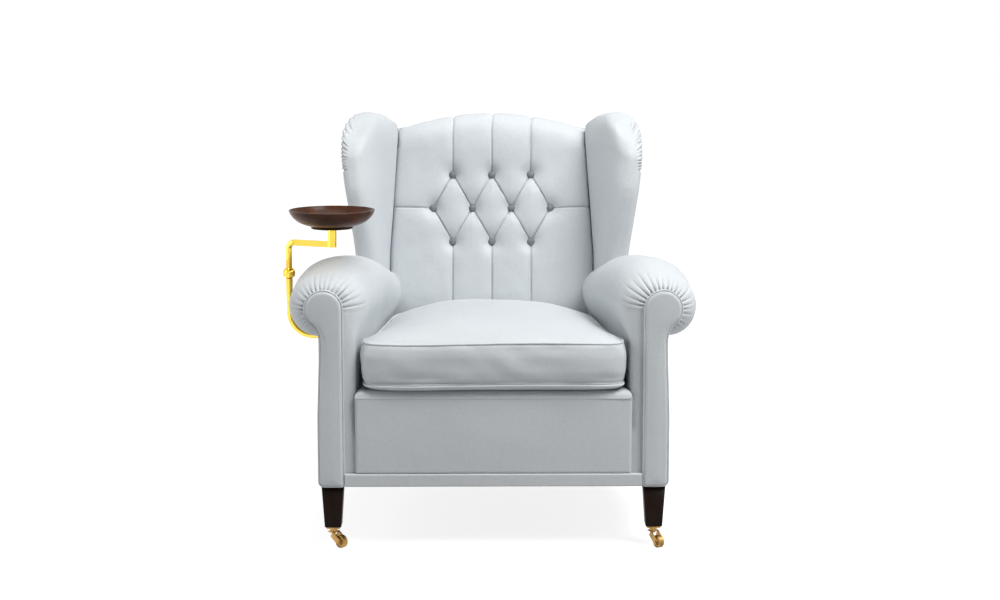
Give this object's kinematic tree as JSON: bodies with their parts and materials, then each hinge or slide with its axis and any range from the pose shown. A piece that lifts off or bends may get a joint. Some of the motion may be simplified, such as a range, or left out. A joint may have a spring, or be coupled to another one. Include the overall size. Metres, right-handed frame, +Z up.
{
  "type": "upholstered wing armchair",
  "caption": "Leather wing armchair with rolled arms, tufted back, loose seat cushion, front casters and a tray on a swivel arm at one side.",
  "frame": {"origin": "middle of the whole footprint, on the floor", "axes": "+Z up, the chair faces -Y, +X to the sitter's left, so the tray arm stands on the -X side"},
  "size_m": [0.9355, 0.7746, 0.9309],
  "materials": {
    "leather": "soft pale grey-blue leather",
    "button_leather": "darker grey leather",
    "frame_wood": "planed beech",
    "webbing": "woven jute",
    "dust_cloth": "black cloth",
    "spring_steel": "plain wire",
    "leg_wood": "near-black brown stain, satin lacquer",
    "caster_brass": "antique brass",
    "bracket_brass": "polished brass",
    "tray_wood": "turned walnut, satin lacquer"
  },
  "bodies": {
    "chair": {"front_rail": "frame_wood", "back_rail": "frame_wood", "side_rail_left": "frame_wood", "side_rail_right": "frame_wood", "front_post_left": "frame_wood", "front_post_right": "frame_wood", "back_post_left": "frame_wood", "back_post_right": "frame_wood", "crest_rail": "frame_wood", "lumbar_rail": "frame_wood", "arm_rail_left": "frame_wood", "arm_rail_right": "frame_wood", "wing_board_left": "frame_wood", "wing_board_right": "frame_wood", "corner_blocks": "frame_wood", "seat_webbing": "webbing", "seat_springs": "spring_steel", "seat_deck": "leather", "dust_cover": "dust_cloth", "back_webbing": "webbing", "inside_back": "leather", "back_buttons": "button_leather", "outside_back": "leather", "arm_left": "leather", "arm_right": "leather", "outside_arm_left": "leather", "outside_arm_right": "leather", "arm_facing_left": "leather", "arm_facing_right": "leather", "facing_welt_left": "leather", "facing_welt_right": "leather", "wing_left": "leather", "wing_right": "leather", "apron": "leather", "base_band": "leather", "front_leg_left": "leg_wood", "front_leg_right": "leg_wood", "rear_leg_left": "leg_wood", "rear_leg_right": "leg_wood", "caster_plate_left": "caster_brass", "caster_plate_right": "caster_brass", "tray_bracket": "bracket_brass", "bracket_screws": "bracket_brass", "pivot_ball": "bracket_brass"},
    "seat_cushion": {"seat_cushion": "leather"},
    "caster_left": {"caster_fork_left": "caster_brass", "caster_axle_left": "caster_brass"},
    "caster_right": {"caster_fork_right": "caster_brass", "caster_axle_right": "caster_brass"},
    "wheel_left": {"caster_wheel_left": "caster_brass"},
    "wheel_right": {"caster_wheel_right": "caster_brass"},
    "tray_arm": {"swivel_arm": "bracket_brass", "tray_post": "bracket_brass"},
    "tray": {"tray_stem": "bracket_brass", "tray": "tray_wood"}
  },
  "joints": [
    {"name": "cushion_slide", "type": "slide", "parent": "chair", "child": "seat_cushion", "axis": [0, -1, 0], "range_m": [0, 0.3]},
    {"name": "caster_left_swivel", "type": "hinge", "parent": "chair", "child": "caster_left", "pos_m": [-0.33997, -0.3406, 0.035], "axis": [0, 0, 1], "continuous": true},
    {"name": "caster_right_swivel", "type": "hinge", "parent": "chair", "child": "caster_right", "pos_m": [0.36803, -0.3406, 0.035], "axis": [0, 0, 1], "continuous": true},
    {"name": "wheel_left_roll", "type": "hinge", "parent": "caster_left", "child": "wheel_left", "pos_m": [-0.32186, -0.35634, 0.014], "axis": [0.6561, 0.7547, 0], "continuous": true},
    {"name": "wheel_right_roll", "type": "hinge", "parent": "caster_right", "child": "wheel_right", "pos_m": [0.37817, -0.36235, 0.014], "axis": [0.9063, 0.4226, 0], "continuous": true},
    {"name": "tray_arm_swivel", "type": "hinge", "parent": "chair", "child": "tray_arm", "pos_m": [-0.45368, -0.1246, 0.6], "axis": [0, 0, 1], "continuous": true},
    {"name": "tray_turn", "type": "hinge", "parent": "tray_arm", "child": "tray", "pos_m": [-0.35045, -0.17056, 0.67], "axis": [0, 0, 1], "continuous": true}
  ]
}
